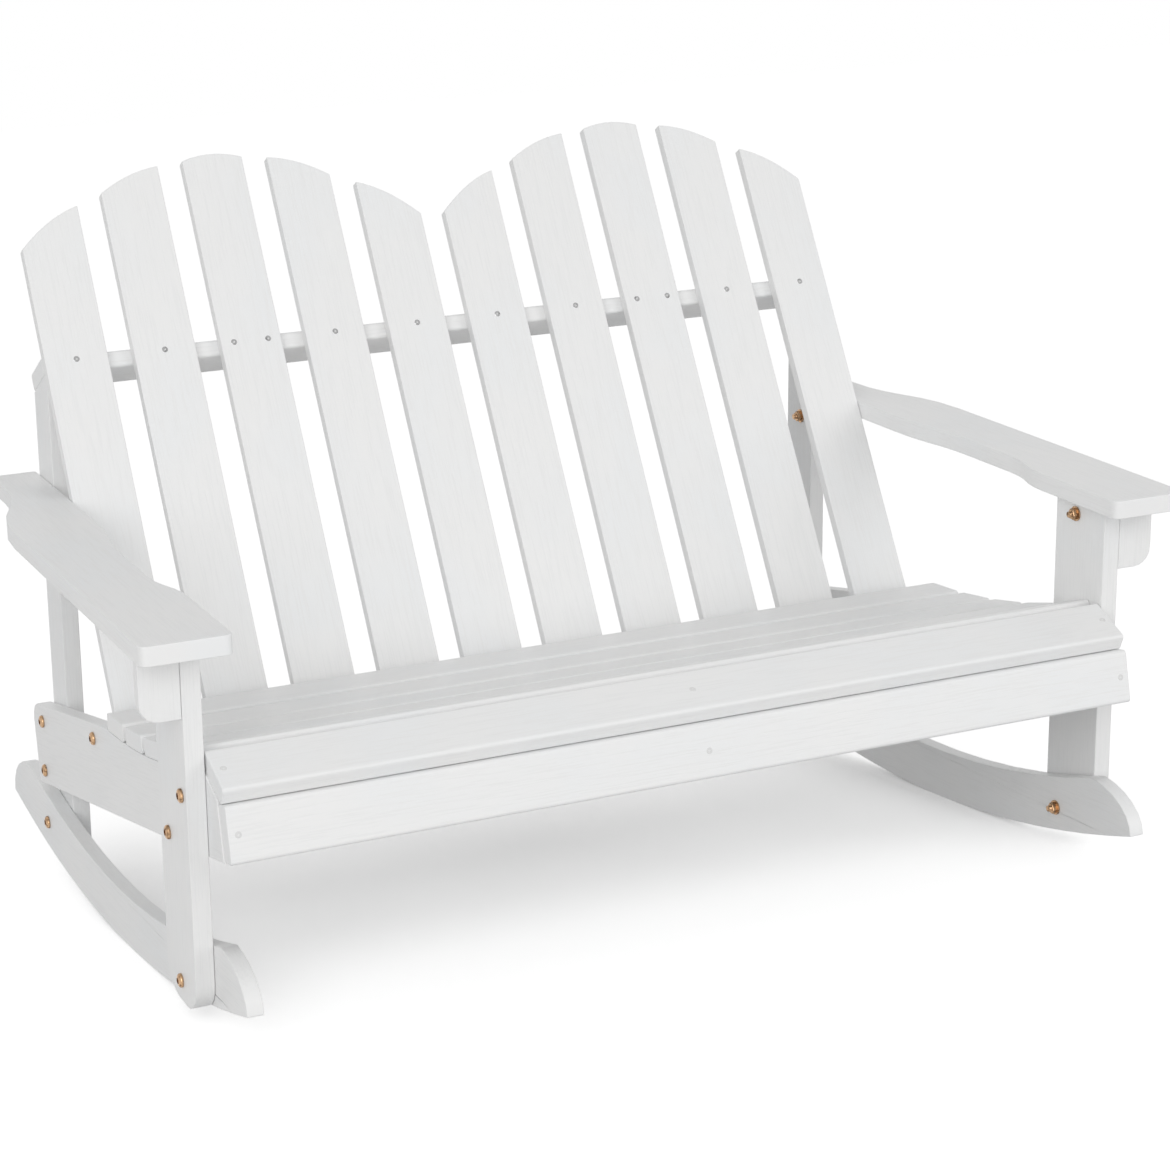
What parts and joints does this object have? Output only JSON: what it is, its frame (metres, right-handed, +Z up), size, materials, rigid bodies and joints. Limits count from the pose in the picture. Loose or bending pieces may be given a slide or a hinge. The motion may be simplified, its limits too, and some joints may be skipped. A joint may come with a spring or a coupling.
{
  "type": "child's two-seat rocking bench",
  "caption": "Child's rocking bench of painted boards, with a raked slatted back of two arches, a dished slatted seat, flat arms and curved rockers.",
  "frame": {"origin": "bottom centre of the bounding box: on the floor, under the middle of the bench's outline", "axes": "+X to the right of the bench as seen from its front, +Y to its back, +Z up. The bench stands on the flat facets of its rockers, at its own balance, which leans its legs 7.5 degrees forward."},
  "size_m": [1.0544, 0.8102, 0.747],
  "materials": {
    "painted_wood": "satin white paint over embossed grain",
    "bolt_brass": "satin, slightly aged"
  },
  "bodies": {
    "root": {"seat_slat_1": "painted_wood", "seat_slat_2": "painted_wood", "seat_slat_3": "painted_wood", "seat_slat_4": "painted_wood", "seat_slat_5": "painted_wood", "seat_nose_board": "painted_wood", "seat_apron": "painted_wood", "middle_seat_rail": "painted_wood", "back_slat_1": "painted_wood", "back_slat_2": "painted_wood", "back_slat_3": "painted_wood", "back_slat_4": "painted_wood", "back_slat_5": "painted_wood", "back_slat_6": "painted_wood", "back_slat_7": "painted_wood", "back_slat_8": "painted_wood", "back_slat_9": "painted_wood", "back_slat_10": "painted_wood", "top_back_rail": "painted_wood", "lower_back_rail": "painted_wood", "side_rail_left": "painted_wood", "front_leg_left": "painted_wood", "rear_post_left": "painted_wood", "rocker_left": "painted_wood", "arm_left": "painted_wood", "arm_bracket_left": "painted_wood", "front_arm_cleat_left": "painted_wood", "rear_arm_cleat_left": "painted_wood", "bolt_leg_rail_upper_left": "bolt_brass", "bolt_leg_rail_lower_left": "bolt_brass", "bolt_leg_rocker_left": "bolt_brass", "bolt_leg_cleat_left": "bolt_brass", "bolt_rail_post_upper_left": "bolt_brass", "bolt_rail_post_lower_left": "bolt_brass", "bolt_rocker_post_left": "bolt_brass", "bolt_post_cleat_left": "bolt_brass", "coach_bolt_back_rail_left": "bolt_brass", "side_rail_right": "painted_wood", "front_leg_right": "painted_wood", "rear_post_right": "painted_wood", "rocker_right": "painted_wood", "arm_right": "painted_wood", "arm_bracket_right": "painted_wood", "front_arm_cleat_right": "painted_wood", "rear_arm_cleat_right": "painted_wood", "bolt_leg_rail_upper_right": "bolt_brass", "bolt_leg_rail_lower_right": "bolt_brass", "bolt_leg_rocker_right": "bolt_brass", "bolt_leg_cleat_right": "bolt_brass", "bolt_rail_post_upper_right": "bolt_brass", "bolt_rail_post_lower_right": "bolt_brass", "bolt_rocker_post_right": "bolt_brass", "bolt_post_cleat_right": "bolt_brass", "coach_bolt_back_rail_right": "bolt_brass"}
  },
  "joints": []
}
